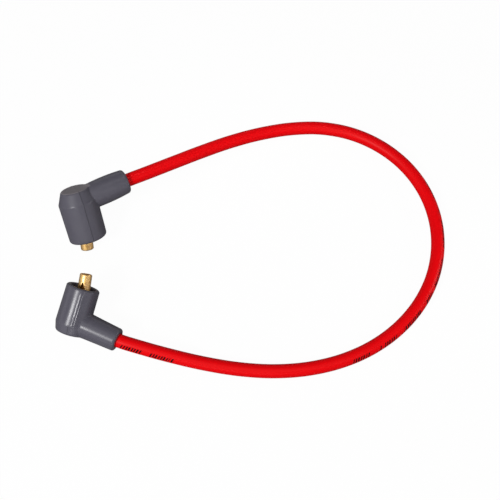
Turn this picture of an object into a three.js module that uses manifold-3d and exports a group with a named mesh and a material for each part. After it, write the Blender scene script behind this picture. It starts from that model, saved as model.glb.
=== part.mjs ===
// Ignition coil wire: a red silicone lead with a grey elbow boot and a brass terminal at
// each end, lying on a flat surface as it comes to rest.
//
// Units are millimetres and +Z is up. The lead lies in the XY plane with its lowest point
// on Z = 0, and the origin is under the middle of the two boots.
import * as THREE from 'three';
import { mergeVertices } from 'three/addons/utils/BufferGeometryUtils.js';
import Module from 'manifold-3d';

const wasm = await Module();
wasm.setup();

// Clearances
const touchGap = 0.3; // between rubber, brass and cable where they seat on each other
const overshoot = 1; // how far a cutting tool runs past the face that it opens
const weldDistance = 1e-5; // vertices closer than this are one

// Facets
const roundFacets = 32; // round a boot
const brassFacets = 24; // round a terminal
const arcFacets = 3; // round a filleted edge
const swellFacets = 6; // along a neck
const lengthSamples = 1000; // along the cable, to space its stations evenly

// Both elbows
const elbowAngle = 95; // from the mouth's direction to the neck's direction

// The cable
const cable = {
  diameter: 8.5,
  sides: 12,
  coreDiameter: 2.4,
  coreSides: 8,
  bareCore: 6, // core left standing out of the stripped jacket
  jacketStart: 14, // from the boot's axis to the end of the jacket, along the neck
  step: 7, // length of one straight piece of the tube
};

// The larger boot, which covers a coil tower
const coilBoot = {
  mouthDiameter: 23.7,
  shoulderDiameter: 24.6,
  topDiameter: 17.8,
  mouthDepth: 24.9, // from the neck's axis to the mouth
  shoulderRise: 0.4, // from the neck's axis to the shoulder
  topRise: 8.4, // from the neck's axis to the closed end
  towerBore: 18,
  towerStop: 8, // from the neck's axis to the step that the tower meets
  pocketDiameter: 12.6,
  pocketRadius: 1,
  roof: 3, // rubber over the pocket
  lipRadius: 1.6,
  shoulderRadius: 1.1,
  topRadius: 1.6,
  neckLength: 33.4, // from the boot's axis to the neck's end
  neckBase: 14.6,
  neckMiddle: 16.9,
  neckEnd: 15.2,
  neckRadius: 1.9,
  seamShifts: [0.3], // from the boot's axis towards the neck
  seamRise: 9, // from the neck's axis to the end of the ribs, here past the closed end
};

// The smaller boot, which covers a tower of the distributor cap
const capBoot = {
  mouthDiameter: 20.4,
  shoulderDiameter: 21,
  topDiameter: 18,
  mouthDepth: 21.3,
  shoulderRise: 2.4,
  topRise: 8.3,
  towerBore: 15.2,
  towerStop: 7.4,
  pocketDiameter: 13.4,
  pocketRadius: 1,
  roof: 3,
  lipRadius: 1.2,
  shoulderRadius: 1.6,
  topRadius: 1.8,
  neckLength: 30.2,
  neckBase: 16.9,
  neckMiddle: 15.4,
  neckEnd: 14.2,
  neckRadius: 1.5,
  seamShifts: [2.1, 4.2],
  seamRise: 2.4,
};

// The thin ribs that the mould's parting line leaves on both boots
const seam = { width: 0.5, height: 0.25, mouthMargin: 1.8 };

// Both brass terminals
const brass = {
  wall: 0.45,
  strapWidth: 4.6,
  seamGap: 0.25, // between the rolled edges
  strapEnd: 6, // from the boot's axis to where the strap leaves its plane, along the neck
  rampLength: 2, // over which it steps in to the core's crimp
  coreCrimpLength: 4,
  jacketCrimpLength: 6,
};

// The contact barrel that stands out of the coil boot
const coilContact = {
  diameter: 8.4,
  standOut: 7, // past the boot's mouth
  tipRadius: 0.7,
  tilt: 8, // away from the neck
  crossing: 13, // how far below the neck's axis the barrel crosses the boot's axis
  notchFromTip: 9,
  seamSide: -1, // the rolled edges meet towards -Y of the boot
  seamTurn: 8, // and are turned this far towards the neck
};

// The contact barrel that stands out of the cap boot
const capContact = {
  diameter: 7.8,
  standOut: 8,
  tipRadius: 0.7,
  tilt: 8,
  crossing: 24,
  notchFromTip: 6.8,
  seamSide: 1,
  seamTurn: -10,
};

// How each boot lies: where its axes cross, seen from above, the headings of its mouth and
// its neck, and how far the mouth points above or below the level
const coilPose = { x: -10.1, y: 34.9, mouthHeading: -72.7, mouthPitch: -45, neckHeading: 32.4 };
const capPose = { x: -9.9, y: -38.4, mouthHeading: 69.9, mouthPitch: 29, neckHeading: -21.2 };

// Where the cable's centre line runs between the two necks
const route = [
  [30.9, 56.7, 21.6],
  [48.3, 66.4, 18.3],
  [65.8, 76.5, 14.2],
  [84.0, 86.2, 10.0],
  [103.5, 94.2, 6.5],
  [123.9, 99.1, 4.6],
  [144.6, 99.7, 4.35],
  [164.8, 95.2, 4.35],
  [183.0, 85.6, 4.35],
  [198.1, 71.6, 4.35],
  [209.0, 54.0, 4.35],
  [214.9, 34.2, 4.35],
  [215.5, 13.6, 4.35],
  [211.0, -6.5, 4.35],
  [201.6, -24.9, 4.35],
  [188.2, -40.6, 4.35],
  [171.5, -53.1, 4.35],
  [152.6, -61.8, 4.35],
  [132.3, -66.8, 4.35],
  [111.5, -68.4, 4.35],
  [90.6, -67.2, 4.6],
  [70.0, -64.2, 6.0],
  [49.8, -60.0, 8.0],
  [29.9, -54.9, 9.9],
];

// Solids and meshes

function solidOf(geometry) {
  const plain = geometry.clone();
  plain.deleteAttribute('normal');
  plain.deleteAttribute('uv');
  const merged = mergeVertices(plain, weldDistance);
  return new wasm.Manifold(new wasm.Mesh({
    numProp: 3,
    vertProperties: new Float32Array(merged.attributes.position.array),
    triVerts: new Uint32Array(merged.index.array),
  }));
}

function geometryOf(solid) {
  const mesh = solid.getMesh();
  const geometry = new THREE.BufferGeometry();
  geometry.setAttribute('position', new THREE.BufferAttribute(mesh.vertProperties, 3));
  geometry.setIndex(new THREE.BufferAttribute(mesh.triVerts, 1));
  geometry.computeVertexNormals();
  return geometry;
}

function union(solids) {
  return solids.reduce((whole, solid) => whole.add(solid));
}

// Points of the arc that rounds the corner between two neighbours
function roundedCorner(before, corner, after, radius) {
  const back = before.clone().sub(corner).normalize();
  const ahead = after.clone().sub(corner).normalize();
  const halfAngle = Math.acos(back.dot(ahead)) / 2;
  const centre = back.clone().add(ahead).normalize();
  centre.multiplyScalar(radius / Math.sin(halfAngle)).add(corner);
  const from = back.multiplyScalar(radius / Math.tan(halfAngle)).add(corner).sub(centre);
  const to = ahead.multiplyScalar(radius / Math.tan(halfAngle)).add(corner).sub(centre);
  const sweep = Math.atan2(from.cross(to), from.dot(to));
  const points = [];
  for (let i = 0; i <= arcFacets; i += 1) {
    const turned = from.clone().rotateAround(new THREE.Vector2(), (sweep * i) / arcFacets);
    points.push(turned.add(centre));
  }
  return points;
}

// An outline of [radius, height, corner radius] rows, with the corners rounded
function outline(rows) {
  const corners = rows.map(([radius, height]) => new THREE.Vector2(radius, height));
  return rows.flatMap(([, , fillet], i) => {
    if (!fillet) return [corners[i]];
    return roundedCorner(corners[i - 1], corners[i], corners[i + 1], fillet);
  });
}

// A solid of revolution about +Z
function revolve(points, facets) {
  const geometry = new THREE.LatheGeometry(points, facets);
  geometry.rotateX(Math.PI / 2);
  return solidOf(geometry);
}

// A flat outline in the XZ plane, thickened along Y from yLow to yHigh
function plate(points, yLow, yHigh) {
  const shape = new THREE.Shape(points.map(([x, z]) => new THREE.Vector2(x, z)));
  const geometry = new THREE.ExtrudeGeometry(shape, { depth: yHigh - yLow, bevelEnabled: false });
  geometry.rotateX(Math.PI / 2);
  geometry.translate(0, yHigh, 0);
  return solidOf(geometry);
}

// Turns what was made along +Z into the direction of the neck
function alongNeck(solid) {
  return solid.rotate([0, 180 - elbowAngle, 0]);
}

// Boots, each with its mouth towards -Z and its neck towards +X

// The outer wall from the mouth over the shoulder to the closed end, grown by a margin
function bodyOutline(boot, grow) {
  return outline([
    [0, -boot.mouthDepth],
    [boot.mouthDiameter / 2 + grow, -boot.mouthDepth, boot.lipRadius],
    [boot.shoulderDiameter / 2 + grow, boot.shoulderRise, boot.shoulderRadius],
    [boot.topDiameter / 2 + grow, boot.topRise + grow, boot.topRadius],
    [0, boot.topRise + grow],
  ]);
}

function neckOutline(boot) {
  const swell = new THREE.QuadraticBezierCurve(
    new THREE.Vector2(boot.neckBase / 2, 0),
    new THREE.Vector2(boot.neckMiddle - (boot.neckBase + boot.neckEnd) / 4, boot.neckLength / 2),
    new THREE.Vector2(boot.neckEnd / 2, boot.neckLength),
  );
  const side = swell.getPoints(swellFacets);
  const rim = side.pop();
  const face = new THREE.Vector2(0, boot.neckLength);
  return [
    new THREE.Vector2(0, 0),
    ...side,
    ...roundedCorner(side.at(-1), rim, face, boot.neckRadius),
    face,
  ];
}

// The thin ribs along the parting line, in planes across the neck
function seamRibs(boot) {
  const reach = boot.shoulderDiameter;
  const low = seam.mouthMargin - boot.mouthDepth;
  const high = boot.seamRise;
  const slabs = boot.seamShifts.map((shift) => {
    const left = shift - seam.width / 2;
    const right = shift + seam.width / 2;
    return plate([[left, low], [right, low], [right, high], [left, high]], -reach, reach);
  });
  return revolve(bodyOutline(boot, seam.height), roundFacets).intersect(union(slabs));
}

// The tower's bore, and the pocket behind it for the terminal's bend
function socketCut(boot) {
  const bore = boot.towerBore / 2;
  const pocket = boot.pocketDiameter / 2;
  const ceiling = boot.topRise - boot.roof;
  return revolve(outline([
    [0, -boot.mouthDepth - overshoot],
    [bore + touchGap, -boot.mouthDepth - overshoot],
    [bore + touchGap, -boot.mouthDepth],
    [bore, touchGap - boot.mouthDepth],
    [bore, -boot.towerStop],
    [pocket, -boot.towerStop],
    [pocket, ceiling, boot.pocketRadius],
    [0, ceiling],
  ]), roundFacets);
}

// The cable's bore, wider where the crimp on the jacket lies
function neckCut(boot) {
  const bore = cable.diameter / 2 + touchGap;
  const crimpBore = bore + brass.wall + touchGap;
  const crimpEnd = cable.jacketStart + touchGap + brass.jacketCrimpLength + overshoot;
  return revolve(outline([
    [0, 0],
    [crimpBore, 0],
    [crimpBore, crimpEnd],
    [bore, crimpEnd + crimpBore - bore],
    [bore, boot.neckLength + overshoot],
    [0, boot.neckLength + overshoot],
  ]), roundFacets);
}

function bootSolid(boot) {
  return revolve(bodyOutline(boot, 0), roundFacets)
    .add(alongNeck(revolve(neckOutline(boot), roundFacets)))
    .add(seamRibs(boot))
    .subtract(socketCut(boot))
    .subtract(alongNeck(neckCut(boot)));
}

// Terminals, each one brass stamping in the frame of its boot

// A rolled tube along +Z, its seam towards +Y
function rolledTube(radius, low, high) {
  const inner = radius - brass.wall;
  const ring = [[inner, low], [radius, low], [radius, high], [inner, high], [inner, low]];
  const gap = brass.seamGap / 2;
  const bottom = low - overshoot;
  const top = high + overshoot;
  const slot = plate([[-gap, bottom], [gap, bottom], [gap, top], [-gap, top]], 0, radius + overshoot);
  return revolve(ring.map(([r, z]) => new THREE.Vector2(r, z)), brassFacets).subtract(slot);
}

// The contact barrel along -Z: a curled tip, rolled edges that part in a notch towards +Y,
// and sides that narrow to the strap at -Y
function contactBarrel(contact, boot) {
  const radius = contact.diameter / 2;
  const inner = radius - brass.wall;
  const mouth = radius - contact.tipRadius;
  const tip = -boot.mouthDepth - contact.standOut;
  const root = -boot.towerStop;
  const shell = revolve(outline([
    [inner, root],
    [inner, tip + brass.wall, contact.tipRadius - brass.wall],
    [mouth, tip + brass.wall],
    [mouth, tip],
    [radius, tip, contact.tipRadius],
    [radius, root],
    [inner, root],
  ]), brassFacets);
  const gap = brass.seamGap / 2;
  const notch = tip + contact.notchFromTip;
  const sideEnd = root - radius / 2;
  const past = radius + overshoot;
  const rightEdge = [
    [gap, tip - overshoot],
    [gap, notch],
    [radius, sideEnd],
    [past, sideEnd],
    [past, root + overshoot],
  ];
  const leftEdge = rightEdge.map(([x, z]) => [-x, z]).reverse();
  const opening = plate([...rightEdge, ...leftEdge], 0, past);
  const shoulder = plate([
    [brass.strapWidth / 2, root],
    [radius, sideEnd],
    [past, sideEnd],
    [past, root + overshoot],
    [brass.strapWidth / 2, root + overshoot],
  ], -past, past);
  return shell.subtract(opening).subtract(shoulder).subtract(shoulder.mirror([1, 0, 0]));
}

// A strip bent up and down between heights of [distance, height], of one width
function bentStrip(rows, width) {
  const top = rows.map(([x, z]) => [x, z + brass.wall / 2]);
  const bottom = rows.map(([x, z]) => [x, z - brass.wall / 2]).reverse();
  return plate([...top, ...bottom], -width / 2, width / 2);
}

// The two crimps and the floor that joins them, along +X with the wings closing at +Z
function crimps(backHeight) {
  const coreRadius = cable.coreDiameter / 2 + touchGap + brass.wall;
  const jacketRadius = cable.diameter / 2 + touchGap + brass.wall;
  const coreStart = brass.strapEnd + brass.rampLength;
  const coreEnd = coreStart + brass.coreCrimpLength;
  const jacketStart = cable.jacketStart + touchGap;
  const floorOf = (radius) => brass.wall / 2 - radius;
  const bed = bentStrip([
    [brass.strapEnd - brass.wall, backHeight],
    [brass.strapEnd, backHeight],
    [coreStart + brass.wall, floorOf(coreRadius)],
    [coreEnd - brass.wall, floorOf(coreRadius)],
    [cable.jacketStart - touchGap, floorOf(jacketRadius)],
    [jacketStart + brass.wall, floorOf(jacketRadius)],
  ], brass.strapWidth / 2);
  const tubes = [
    rolledTube(coreRadius, coreStart, coreEnd),
    rolledTube(jacketRadius, jacketStart, jacketStart + brass.jacketCrimpLength),
  ].map((tube) => tube.rotate([0, 0, 90]).rotate([0, 90, 0]));
  return union([bed, ...tubes]);
}

// A terminal in the frame of its boot. Barrel and crimps hang on one flat strap that turns
// the corner behind them with a rounded elbow.
function terminalSolid(contact, boot) {
  const back = brass.wall / 2 - contact.diameter / 2;
  const half = brass.strapWidth / 2;
  const flat = (points) => plate(points, back - brass.wall / 2, back + brass.wall / 2);
  const strap = (length) => flat([[-half, 0], [half, 0], [half, length], [-half, length]]);
  const disc = [[0, -brass.wall / 2], [half, -brass.wall / 2], [half, brass.wall / 2], [0, brass.wall / 2]];
  const elbow = revolve(disc.map(([r, z]) => new THREE.Vector2(r, z)), brassFacets);

  // Where the barrel's leaning axis meets the neck's axis
  const tilt = THREE.MathUtils.degToRad(contact.tilt);
  const lean = THREE.MathUtils.degToRad(elbowAngle - 90);
  const up = contact.crossing / (Math.cos(tilt) - Math.sin(tilt) * Math.tan(lean));
  const along = (up * Math.sin(tilt)) / Math.cos(lean);
  const corner = [along * Math.cos(lean), 0, along * Math.sin(lean)];

  const drop = up - contact.crossing + boot.towerStop + half;
  const barrel = contactBarrel(contact, boot).rotate([0, 0, -contact.seamTurn]);
  const barrelLeg = strap(drop)
    .translate([0, 0, -drop])
    .add(barrel.translate([0, 0, contact.crossing - up]))
    .rotate([0, contact.tilt, 0])
    .translate(corner);
  const neckLeg = alongNeck(strap(brass.strapEnd - along).translate([0, 0, along]));
  const crimp = crimps(back).rotate([-90, 0, 0]).rotate([0, 90 - elbowAngle, 0]);
  const bend = elbow.rotate([90, 0, 0]).translate([0, back, 0]).translate(corner);
  const whole = union([barrelLeg, bend, neckLeg, crimp]);
  return contact.seamSide > 0 ? whole : whole.mirror([0, 1, 0]);
}

// Placing

// A boot's turn in the world: -Z goes to the mouth's direction and +X towards the neck
function bootTurn(pose) {
  const heading = THREE.MathUtils.degToRad(pose.mouthHeading);
  const pitch = THREE.MathUtils.degToRad(pose.mouthPitch);
  const mouth = new THREE.Vector3(Math.cos(heading), Math.sin(heading), Math.tan(pitch)).normalize();
  const side = THREE.MathUtils.degToRad(pose.neckHeading);
  const neck = new THREE.Vector3(Math.cos(side), Math.sin(side), 0);
  const up = mouth.clone().negate();
  const across = up.clone().cross(neck).normalize();
  const ahead = across.clone().cross(up);
  return new THREE.Quaternion().setFromRotationMatrix(new THREE.Matrix4().makeBasis(ahead, across, up));
}

function meshOf(name, geometry, material) {
  const mesh = new THREE.Mesh(geometry, material);
  mesh.name = name;
  return mesh;
}

// A boot and its terminal, turned to their pose and let down onto the surface
function endGroup(name, boot, contact, pose) {
  const group = new THREE.Group();
  group.add(meshOf(`${name}_boot`, geometryOf(bootSolid(boot)), materials.boot));
  group.add(meshOf(`${name}_terminal`, geometryOf(terminalSolid(contact, boot)), materials.brass));
  group.quaternion.copy(bootTurn(pose));
  group.position.set(pose.x, pose.y, 0);
  group.position.z = -new THREE.Box3().setFromObject(group, true).min.z;
  group.updateMatrixWorld(true);
  return group;
}

// A point on the neck's axis of a placed end
function onNeck(group, distance) {
  const lean = THREE.MathUtils.degToRad(elbowAngle - 90);
  const point = new THREE.Vector3(Math.cos(lean), 0, Math.sin(lean)).multiplyScalar(distance);
  return group.localToWorld(point);
}

// The cable's centre line, straight inside both necks, from one end of the jacket to the other
function centreLine(coilEnd, capEnd) {
  const inside = (boot) => [cable.jacketStart, boot.neckLength / 2, boot.neckLength];
  return new THREE.CatmullRomCurve3([
    ...inside(coilBoot).map((distance) => onNeck(coilEnd, distance)),
    ...route.map((point) => new THREE.Vector3(...point)),
    ...inside(capBoot).reverse().map((distance) => onNeck(capEnd, distance)),
  ], false, 'centripetal');
}

// Straight pieces from station to station, so that what runs inside another tube keeps to it
class StationLine extends THREE.Curve {
  constructor(stations) {
    super();
    this.stations = stations;
  }

  getPoint(share, target = new THREE.Vector3()) {
    const last = this.stations.length - 1;
    const place = THREE.MathUtils.clamp(share, 0, 1) * last;
    const before = Math.min(Math.floor(place), last - 1);
    return target.lerpVectors(this.stations[before], this.stations[before + 1], place - before);
  }

  getUtoTmapping(share) {
    return share;
  }
}

// A polygon with its corners on a circle
function ring(Path, diameter, sides) {
  const corners = Array.from({ length: sides }, (_, i) => {
    const angle = (2 * Math.PI * i) / sides;
    return new THREE.Vector2(Math.cos(angle), Math.sin(angle)).multiplyScalar(diameter / 2);
  });
  return new Path(corners);
}

function sweep(section, stations) {
  return new THREE.ExtrudeGeometry(section, {
    steps: stations.length - 1,
    extrudePath: new StationLine(stations),
    bevelEnabled: false,
  });
}

function jacketGeometry(stations) {
  const section = ring(THREE.Shape, cable.diameter, cable.sides);
  const flats = Math.cos(Math.PI / cable.coreSides);
  section.holes.push(ring(THREE.Path, cable.coreDiameter + (2 * touchGap) / flats, cable.coreSides));
  return sweep(section, stations);
}

// The core runs through the jacket and stands out bare at both ends
function coreGeometry(stations, coilEnd, capEnd) {
  const section = ring(THREE.Shape, cable.coreDiameter, cable.coreSides);
  const bareEnd = cable.jacketStart - cable.bareCore;
  return sweep(section, [onNeck(coilEnd, bareEnd), ...stations, onNeck(capEnd, bareEnd)]);
}

// The whole wire

const materials = {
  boot: new THREE.MeshStandardMaterial({ color: 0x5f5e67, roughness: 0.5, metalness: 0 }),
  brass: new THREE.MeshStandardMaterial({ color: 0xc79a3f, roughness: 0.25, metalness: 1 }),
  jacket: new THREE.MeshStandardMaterial({ color: 0xe2050f, roughness: 0.4, metalness: 0 }),
  core: new THREE.MeshStandardMaterial({ color: 0x1d1d1f, roughness: 0.8, metalness: 0 }),
};

const coilEnd = endGroup('coil', coilBoot, coilContact, coilPose);
const capEnd = endGroup('cap', capBoot, capContact, capPose);

const line = centreLine(coilEnd, capEnd);
line.arcLengthDivisions = lengthSamples;
const stations = line.getSpacedPoints(Math.round(line.getLength() / cable.step));

const wire = new THREE.Group();
wire.name = 'ignition_coil_wire';
wire.add(coilEnd, capEnd);
wire.add(meshOf('cable_jacket', jacketGeometry(stations), materials.jacket));
wire.add(meshOf('conductor_core', coreGeometry(stations, coilEnd, capEnd), materials.core));

export default wire;
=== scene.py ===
"""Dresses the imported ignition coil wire: boots, terminals, cable, stage, lights and camera.

Sizes are written in millimetres, as a maker would give them, and turn into metres where a
mesh is made. Each boot and terminal is built in the frame of its boot, with the mouth
towards -Z and the neck towards +X, and then turned to where the lead lies.
"""
from __future__ import annotations

import logging
import math
from dataclasses import dataclass
from enum import Enum
from typing import Callable, Sequence

import bpy
import numpy as np
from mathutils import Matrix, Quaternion, Vector


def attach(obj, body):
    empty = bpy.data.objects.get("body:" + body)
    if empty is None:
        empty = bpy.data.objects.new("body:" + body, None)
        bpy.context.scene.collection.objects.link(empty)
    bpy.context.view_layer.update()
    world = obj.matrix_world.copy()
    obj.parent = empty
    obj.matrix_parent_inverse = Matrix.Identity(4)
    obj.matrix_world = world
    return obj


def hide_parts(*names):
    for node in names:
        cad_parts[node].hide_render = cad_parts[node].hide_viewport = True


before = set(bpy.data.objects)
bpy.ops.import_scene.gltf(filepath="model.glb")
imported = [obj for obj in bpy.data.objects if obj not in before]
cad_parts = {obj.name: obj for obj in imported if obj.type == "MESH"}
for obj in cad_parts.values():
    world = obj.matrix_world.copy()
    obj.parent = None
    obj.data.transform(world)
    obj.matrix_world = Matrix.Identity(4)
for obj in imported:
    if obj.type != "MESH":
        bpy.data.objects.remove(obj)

LOG = logging.getLogger("ignition_coil_wire")
MM = 0.001
TINY = 1e-9  # a length below this counts as nothing

# a neck leans back a little from square to its mouth, in the boot's own frame
ELBOW_LEAN = math.radians(5.0)
NECK_AXIS = np.array([math.cos(ELBOW_LEAN), 0, math.sin(ELBOW_LEAN)])
NECK_UP = np.array([-math.sin(ELBOW_LEAN), 0, math.cos(ELBOW_LEAN)])


# Small helpers


def hex_colour(code: str) -> tuple[float, float, float, float]:
    """Turn an sRGB hex colour into linear light.

    Args:
        code: six hex digits, with or without a leading hash.

    Returns:
        Linear red, green, blue, and an alpha of one.
    """
    digits = code.lstrip("#")
    values = [int(digits[i:i + 2], 16) / 255 for i in (0, 2, 4)]
    # the sRGB curve: straight near black, a power above that
    linear = [v / 12.92 if v <= 0.04045 else ((v + 0.055) / 1.055) ** 2.4 for v in values]
    return linear[0], linear[1], linear[2], 1.0


def add_node(tree: bpy.types.NodeTree, kind: str, values: dict | None = None,
             links: dict | None = None, **settings: object) -> bpy.types.Node:
    """Add a node with its settings, its constant inputs and its incoming links.

    Args:
        tree: the node tree that takes the node.
        kind: the node's type name.
        values: constant input values by socket name or index.
        links: output sockets by the name or index of the input that they feed.
        settings: attributes of the node itself.

    Returns:
        The new node.
    """
    node = tree.nodes.new(kind)
    for name, value in settings.items():
        setattr(node, name, value)
    for key, value in (values or {}).items():
        node.inputs[key].default_value = value
    for key, socket in (links or {}).items():
        tree.links.new(socket, node.inputs[key])
    return node


def mesh_object(name: str, points: np.ndarray, faces: Sequence,
                smooth: bool = True) -> bpy.types.Object:
    """Make a mesh object at the origin from points in millimetres.

    Args:
        name: the object's name.
        points: vertices, one row each, in millimetres of the row's frame.
        faces: lists of vertex numbers, counter-clockwise from outside.
        smooth: whether the faces are shaded smooth.

    Returns:
        The linked object.
    """
    mesh = bpy.data.meshes.new(name)
    mesh.from_pydata((np.asarray(points) * MM).tolist(), [], [list(map(int, f)) for f in faces])
    mesh.update()
    mesh.polygons.foreach_set("use_smooth", [smooth] * len(mesh.polygons))
    thing = bpy.data.objects.new(name, mesh)
    bpy.context.scene.collection.objects.link(thing)
    return thing


def give_material(thing: bpy.types.Object, material: bpy.types.Material) -> None:
    """Replace every material slot of an object's mesh with one material."""
    thing.data.materials.clear()
    thing.data.materials.append(material)


def run_along(line: np.ndarray) -> np.ndarray:
    """Measure how far along a line each of its points lies, from nothing at the first."""
    return np.concatenate([[0], np.cumsum(np.linalg.norm(np.diff(line, axis=0), axis=1))])


# Round forms as distances


SLOPE_REACH = 0.06  # how far to both sides the slope of a distance field is measured
SETTLING_PASSES = 4  # how often the points of a net are moved onto the surface


def rounded_outline(rows: Sequence[tuple], facets: int = 10) -> np.ndarray:
    """Round the corners of an outline.

    Args:
        rows: (radius, height) or (radius, height, corner radius) rows.
        facets: straight pieces to each rounded corner.

    Returns:
        The outline's points, one row each.
    """
    corners = [np.array(row[:2], float) for row in rows]
    points: list[np.ndarray] = []
    for i, row in enumerate(rows):
        if len(row) < 3 or not row[2]:
            points.append(corners[i])
            continue
        back = corners[i - 1] - corners[i]
        ahead = corners[i + 1] - corners[i]
        back /= np.linalg.norm(back)
        ahead /= np.linalg.norm(ahead)
        half = math.acos(float(np.clip(back @ ahead, -1, 1))) / 2
        middle = (back + ahead) / np.linalg.norm(back + ahead)
        centre = corners[i] + middle * row[2] / math.sin(half)
        first = corners[i] + back * row[2] / math.tan(half) - centre
        last = corners[i] + ahead * row[2] / math.tan(half) - centre
        turn = math.atan2(first[0] * last[1] - first[1] * last[0], float(first @ last))
        for k in range(facets + 1):
            c, s = math.cos(turn * k / facets), math.sin(turn * k / facets)
            spoke = np.array([c * first[0] - s * first[1], s * first[0] + c * first[1]])
            points.append(centre + spoke)
    return np.array(points)


class RoundForm:
    """A solid of revolution, kept as a table of distances to its outline."""

    STEP = 0.1  # spacing of the table, in millimetres
    FAR = 1e9  # farther than any outline
    NUDGE = 1e-6  # keeps a sample that lies on the outline from counting by chance
    LAST_CELL = 1.001  # steps before the table's end at which a look-up is held

    def __init__(self, outline: np.ndarray, margin: float = 8.0) -> None:
        """Tabulate the distance to an outline that starts and ends on the axis.

        Args:
            outline: (radius, height) points from axis to axis.
            margin: how far the table reaches past the outline, in millimetres.
        """
        self.low = float(outline[:, 1].min() - margin)
        radii = np.arange(0, outline[:, 0].max() + margin, self.STEP)
        heights = np.arange(self.low, outline[:, 1].max() + margin, self.STEP)
        r, z = np.meshgrid(radii, heights, indexing="ij")
        best = np.full(r.shape, self.FAR)
        inside = np.zeros(r.shape, bool)
        for a, b in zip(outline, np.roll(outline, -1, axis=0)):
            edge = b - a
            if max(a[0], b[0]) > TINY:
                share = (r - a[0]) * edge[0] + (z - a[1]) * edge[1]
                share = np.clip(share / max(float(edge @ edge), TINY), 0, 1)
                off = np.hypot(r - a[0] - share * edge[0], z - a[1] - share * edge[1])
                best = np.minimum(best, off)
            if a[1] != b[1]:
                spans = (a[1] > z) != (b[1] > z)
                crossing = edge[0] * (z - a[1]) / edge[1] + a[0]
                inside ^= spans & (r + self.NUDGE < crossing)
        self.table = np.where(inside, -best, best)

    def distance(self, radius: np.ndarray, height: np.ndarray) -> np.ndarray:
        """Look up signed distances by radius and height.

        Args:
            radius: distances from the form's axis.
            height: heights along it.

        Returns:
            Distances to the form's skin, negative inside.
        """
        t = self.table
        u = np.clip(radius / self.STEP, 0, t.shape[0] - self.LAST_CELL)
        v = np.clip((height - self.low) / self.STEP, 0, t.shape[1] - self.LAST_CELL)
        i, j = u.astype(int), v.astype(int)
        u, v = u - i, v - j
        return ((t[i, j] * (1 - u) + t[i + 1, j] * u) * (1 - v)
                + (t[i, j + 1] * (1 - u) + t[i + 1, j + 1] * u) * v)


def soft_min(a: np.ndarray, b: np.ndarray, radius: float) -> np.ndarray:
    """Join two distance fields with a fillet of about the given radius."""
    near = np.clip(radius - np.abs(a - b), 0, None) / radius
    return np.minimum(a, b) - near * near * radius / 4


def surface_net(field: Callable[[np.ndarray], np.ndarray], low: Sequence[float],
                high: Sequence[float], step: float) -> tuple[np.ndarray, np.ndarray]:
    """Skin the zero surface of a distance field with quads.

    Args:
        field: gives signed distances for points, one row each.
        low: lowest corner of the sampled box, in millimetres.
        high: highest corner of the sampled box.
        step: spacing of the samples.

    Returns:
        The vertices, and the quads that turn outwards.
    """
    axes = [np.arange(a, b + step, step) for a, b in zip(low, high)]
    grid = np.stack(np.meshgrid(*axes, indexing="ij"), -1)
    value = field(grid.reshape(-1, 3)).reshape(grid.shape[:3])
    inside = value < 0
    cells = tuple(n - 1 for n in value.shape)

    # one point in each cell that the surface crosses, amid the crossings on its edges
    total, hits = np.zeros(cells + (3,)), np.zeros(cells)
    crossings = []
    for axis in range(3):
        ahead = np.roll(value, -1, axis)
        crosses = inside != np.roll(inside, -1, axis)
        crosses[tuple(-1 if k == axis else slice(None) for k in range(3))] = False
        with np.errstate(divide="ignore", invalid="ignore"):
            share = np.where(crosses, value / (value - ahead), 0)
        point = grid * crosses[..., None]
        point[..., axis] += share * step
        others = [k for k in range(3) if k != axis]
        for du in (0, 1):
            for dv in (0, 1):
                cut = [slice(0, cells[k]) for k in range(3)]
                cut[others[0]] = slice(du, du + cells[others[0]])
                cut[others[1]] = slice(dv, dv + cells[others[1]])
                total += point[tuple(cut)]
                hits += crosses[tuple(cut)]
        crossings.append(crosses)
    mixed = hits > 0
    number = np.full(cells, -1)
    number[mixed] = np.arange(int(mixed.sum()))
    points = total[mixed] / hits[mixed][:, None]

    # one quad round each crossed edge of the grid, from the four cells beside it
    quads = []
    for axis in range(3):
        u, v = (axis + 1) % 3, (axis + 2) % 3
        where = np.argwhere(crossings[axis])
        where = where[np.all((where[:, [u, v]] > 0), axis=1)]
        ring = []
        for du, dv in ((-1, -1), (0, -1), (0, 0), (-1, 0)):
            cell = where.copy()
            cell[:, u] += du
            cell[:, v] += dv
            ring.append(number[tuple(np.minimum(cell, np.array(cells) - 1).T)])
        quad = np.stack(ring, 1)
        outward = inside[tuple(where.T)]
        quads.append(np.where(outward[:, None], quad, quad[:, ::-1]))

    for _ in range(SETTLING_PASSES):
        off = np.clip(field(points), -step, step)
        points = points - field_slope(field, points) * off[:, None]
    return points, np.concatenate(quads)


def field_slope(field: Callable[[np.ndarray], np.ndarray], points: np.ndarray) -> np.ndarray:
    """Measure the unit direction in which a distance field grows at each point.

    Args:
        field: gives signed distances for points, one row each.
        points: the points.

    Returns:
        The directions, one row each.
    """
    reaches = SLOPE_REACH * np.eye(3)
    slope = np.stack([field(points + reach) - field(points - reach) for reach in reaches], 1)
    return slope / np.maximum(np.linalg.norm(slope, axis=1), TINY)[:, None]


# Finishes


SILICONE_IOR = 1.41  # of cured silicone rubber


class Surface(Enum):
    """How a moulded rubber surface came out of its tool."""

    MATT = "matt"
    GLOSSY = "glossy"


@dataclass(frozen=True)
class ToolSkin:
    """What the surface of one tool gives the rubber."""

    specular: float  # the shader's specular level
    top_light_share: float  # share of the painted light and reflection on the closed end
    roughness: tuple[float, float]  # between the clouds and in them
    grain: float  # strength of the grain


SKINS = {
    Surface.MATT: ToolSkin(specular=0.5, top_light_share=0.8, roughness=(0.46, 0.54), grain=0.22),
    Surface.GLOSSY: ToolSkin(specular=0.47, top_light_share=0.15, roughness=(0.24, 0.31), grain=0.12),
}


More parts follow.
